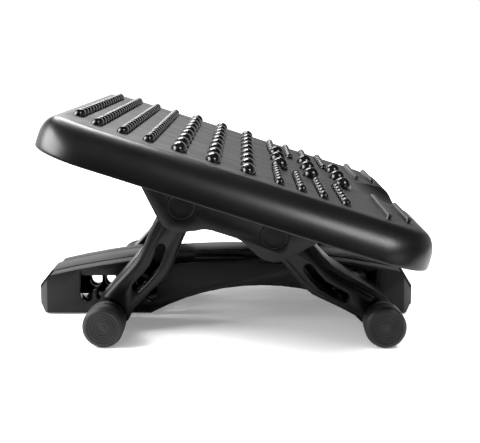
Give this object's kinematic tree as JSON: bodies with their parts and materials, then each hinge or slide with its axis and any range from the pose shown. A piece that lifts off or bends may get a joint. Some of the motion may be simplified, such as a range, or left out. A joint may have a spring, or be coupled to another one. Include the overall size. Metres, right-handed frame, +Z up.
{
  "type": "tilting under-desk footrest",
  "caption": "Footrest with a ribbed rocking platform on folding leg frames, over an arched base beam with notched windows.",
  "frame": {"origin": "on the floor, in the middle of the base beam", "axes": "+X from the toe side to the heel side, +Y across the platform to the far side, +Z up"},
  "size_m": [0.397, 0.45, 0.2223],
  "materials": {
    "satin_black": "satin moulded plastic with a fine texture",
    "matte_black": "fine leather-like grain on the tread, matte",
    "gloss_black": "polished moulded plastic",
    "rubber_black": "soft matte rubber",
    "steel_grey": "bright drawn steel"
  },
  "bodies": {
    "base": {"base_beam": "satin_black", "base_cover": "satin_black", "base_pad_1": "rubber_black", "base_pad_2": "rubber_black", "base_pad_3": "rubber_black", "base_pad_4": "rubber_black", "cover_screw_1": "steel_grey", "cover_screw_2": "steel_grey", "cover_screw_3": "steel_grey", "cover_screw_4": "steel_grey"},
    "left_leg": {"left_leg_arm_near": "satin_black", "left_leg_plate_near": "satin_black", "left_leg_arm_far": "satin_black", "left_leg_plate_far": "satin_black", "left_leg_axle": "steel_grey"},
    "right_leg": {"right_leg_arm_near": "satin_black", "right_leg_plate_near": "satin_black", "right_leg_arm_far": "satin_black", "right_leg_plate_far": "satin_black", "right_leg_axle": "steel_grey"},
    "left_foot": {"left_foot_rod": "steel_grey", "left_foot_hub_near": "satin_black", "left_foot_cap_near": "rubber_black", "left_foot_hub_far": "satin_black", "left_foot_cap_far": "rubber_black"},
    "right_foot": {"right_foot_rod": "steel_grey", "right_foot_hub_near": "satin_black", "right_foot_cap_near": "rubber_black", "right_foot_hub_far": "satin_black", "right_foot_cap_far": "rubber_black"},
    "platform": {"platform_shell": "matte_black", "platform_pan": "satin_black", "ribbed_bar_1": "gloss_black", "ribbed_bar_2": "gloss_black", "ribbed_bar_3": "gloss_black", "ribbed_bar_4": "gloss_black", "bead_row_1": "gloss_black", "bead_row_2": "gloss_black", "bead_row_3": "gloss_black", "side_rod_near_1": "gloss_black", "side_rod_far_1": "gloss_black", "side_rod_near_2": "gloss_black", "side_rod_far_2": "gloss_black", "side_rod_near_3": "gloss_black", "side_rod_far_3": "gloss_black", "side_rod_near_4": "gloss_black", "side_rod_far_4": "gloss_black", "big_bead_row_1": "gloss_black", "big_bead_row_2": "gloss_black", "big_bead_row_3": "gloss_black", "cradle_screw_1": "steel_grey", "cradle_screw_2": "steel_grey", "cradle_screw_3": "steel_grey", "cradle_screw_4": "steel_grey", "cradle_near": "satin_black", "pivot_cover_left_near": "satin_black", "pivot_cover_right_near": "satin_black", "cradle_far": "satin_black", "pivot_cover_left_far": "satin_black", "pivot_cover_right_far": "satin_black"}
  },
  "joints": [
    {"name": "left_leg_swing", "type": "hinge", "parent": "base", "child": "left_leg", "pos_m": [-0.112, 0, 0.0195], "axis": [0, 1, 0], "range_deg": [0, 18.65]},
    {"name": "platform_rock", "type": "hinge", "parent": "left_leg", "child": "platform", "pos_m": [-0.04052, 0, 0.12808], "axis": [0, 1, 0], "range_deg": [-54.1, 0]},
    {"name": "right_leg_swing", "type": "hinge", "parent": "base", "child": "right_leg", "pos_m": [0.1515, 0, 0.0195], "axis": [0, 1, 0], "range_deg": [0, 18.66]},
    {"name": "left_rod_roll", "type": "hinge", "parent": "base", "child": "left_foot", "pos_m": [-0.112, 0, 0.0195], "axis": [0, 1, 0], "continuous": true},
    {"name": "right_rod_roll", "type": "hinge", "parent": "base", "child": "right_foot", "pos_m": [0.1515, 0, 0.0195], "axis": [0, 1, 0], "continuous": true}
  ],
  "couplings": [
    {"joint": "platform_rock", "follows": "left_leg_swing", "ratio": -2.897},
    {"joint": "right_leg_swing", "follows": "left_leg_swing", "ratio": 1}
  ]
}
